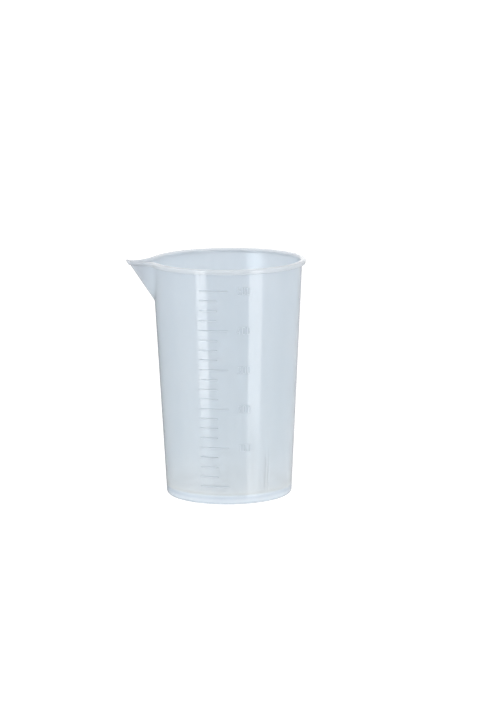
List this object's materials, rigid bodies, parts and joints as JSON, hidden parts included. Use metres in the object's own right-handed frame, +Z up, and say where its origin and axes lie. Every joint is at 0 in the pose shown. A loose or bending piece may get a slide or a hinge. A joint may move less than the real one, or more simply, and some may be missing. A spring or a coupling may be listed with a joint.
{
  "type": "graduated mixing cup",
  "caption": "Tapered translucent cup with a rolled rim, a narrow pouring spout, raised volume marks with plain figures, and ribs that let cups nest without jamming.",
  "frame": {"origin": "on the cup's axis, in the plane of the foot ring that it stands on", "axes": "+Z up along the cup's axis, -X towards the spout, -Y towards the scale"},
  "size_m": [0.1004, 0.0876, 0.133],
  "materials": {
    "body": "natural polypropylene, milky and translucent, smooth satin gloss",
    "scale": "the same natural polypropylene, raised from the wall"
  },
  "bodies": {
    "root": {"side_wall": "body", "floor": "body", "foot_ring": "body", "rim": "body", "spout_wall": "body", "spout_lip": "body", "long_marks": "scale", "short_marks": "scale", "figures": "scale", "stacking_ribs": "body"}
  },
  "joints": []
}
